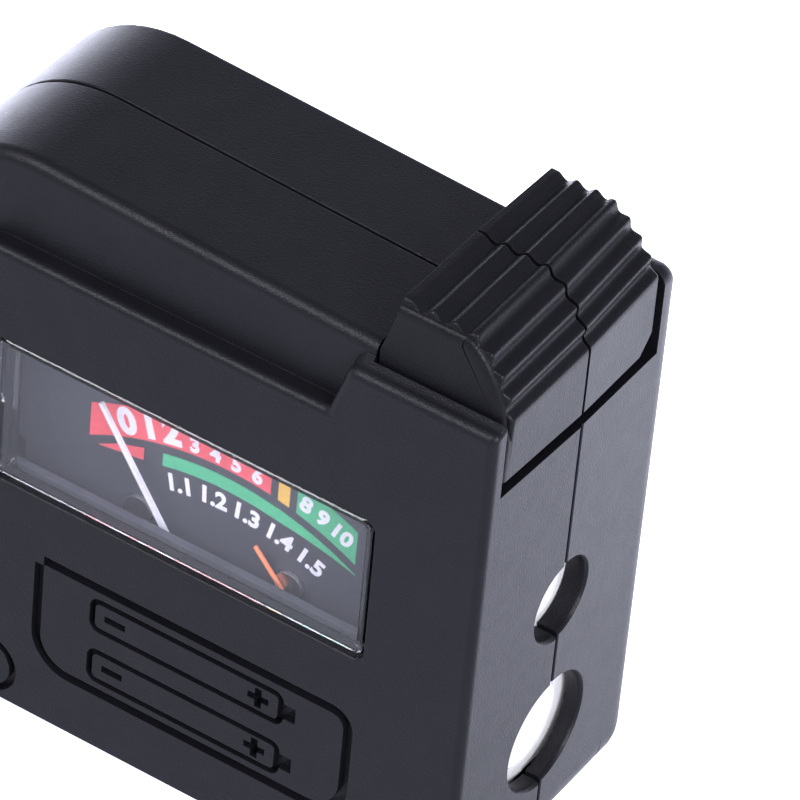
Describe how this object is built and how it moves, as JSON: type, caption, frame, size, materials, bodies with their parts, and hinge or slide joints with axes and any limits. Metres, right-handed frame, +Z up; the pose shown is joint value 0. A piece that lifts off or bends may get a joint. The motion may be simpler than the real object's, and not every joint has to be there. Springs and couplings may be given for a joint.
{
  "type": "battery tester",
  "caption": "Handheld analogue battery tester: case with a needle meter, snap contacts in its side, and a ribbed sliding arm whose foot clamps a cell under the case.",
  "frame": {"origin": "on the ground under the foot, at the middle of the whole tester's width and depth", "axes": "+Z up along the arm's travel, -Y out of the meter's face, +X towards the side with the snap contacts"},
  "size_m": [0.0506, 0.0224, 0.1194],
  "materials": {
    "case_plastic": "fine spark-eroded texture, satin",
    "arm_plastic": "satin",
    "clear_cover": "polished clear styrene",
    "meter_plastic": "satin",
    "dial_card": "matt print on card",
    "print_red": "matt print",
    "print_yellow": "matt print",
    "print_green": "matt print",
    "nickel": "bright nickel plate",
    "steel": "machined",
    "brass": "satin",
    "copper": "enamelled or bare copper",
    "aluminium": "satin",
    "needle_paint": "matt white paint",
    "stop_insulation": "satin sleeve",
    "wire_red": "satin insulation",
    "wire_black": "satin insulation",
    "resistor_coat": "lacquered"
  },
  "bodies": {
    "case": {"front_shell": "case_plastic", "rear_shell": "case_plastic", "meter_cover": "clear_cover", "meter_base": "meter_plastic", "meter_mask": "meter_plastic", "dial_plate": "dial_card", "dial_band_red": "print_red", "dial_band_yellow": "print_yellow", "dial_band_green": "print_green", "contact_9v_plus": "nickel", "contact_9v_minus": "nickel", "cell_contact": "nickel", "case_screw_1": "steel", "case_screw_2": "steel", "case_screw_3": "steel", "yoke_ring": "steel", "core_magnet": "steel", "friction_spring": "steel", "front_bridge": "brass", "front_jewel": "brass", "rear_jewel": "brass", "meter_terminal_plus": "brass", "meter_terminal_minus": "brass", "arm_brush": "copper", "dial_rivet_1": "aluminium", "dial_rivet_2": "aluminium", "needle_stop": "stop_insulation", "wire_red_9v": "wire_red", "wire_red_cell": "wire_red", "wire_black_9v": "wire_black", "wire_brush": "wire_black", "resistor_9v": "resistor_coat", "resistor_cell": "resistor_coat"},
    "arm": {"arm_front_half": "arm_plastic", "arm_rear_half": "arm_plastic", "arm_screw_1": "steel", "arm_screw_2": "steel", "arm_screw_3": "steel", "arm_strip": "brass", "foot_contact": "nickel"},
    "pointer": {"needle": "needle_paint", "counterweight": "steel", "coil_former": "aluminium", "coil_winding": "copper", "staff_front": "steel", "staff_rear": "steel", "hairspring_front": "brass"}
  },
  "joints": [
    {"name": "arm_slide", "type": "slide", "parent": "case", "child": "arm", "axis": [0, 0, 1], "range_m": [0, 0.06]},
    {"name": "needle_swing", "type": "hinge", "parent": "case", "child": "pointer", "pos_m": [0, 0, 0.081], "axis": [0, 1, 0], "range_deg": [0, 75], "stiffness_Nm_per_rad": 0.00005}
  ]
}
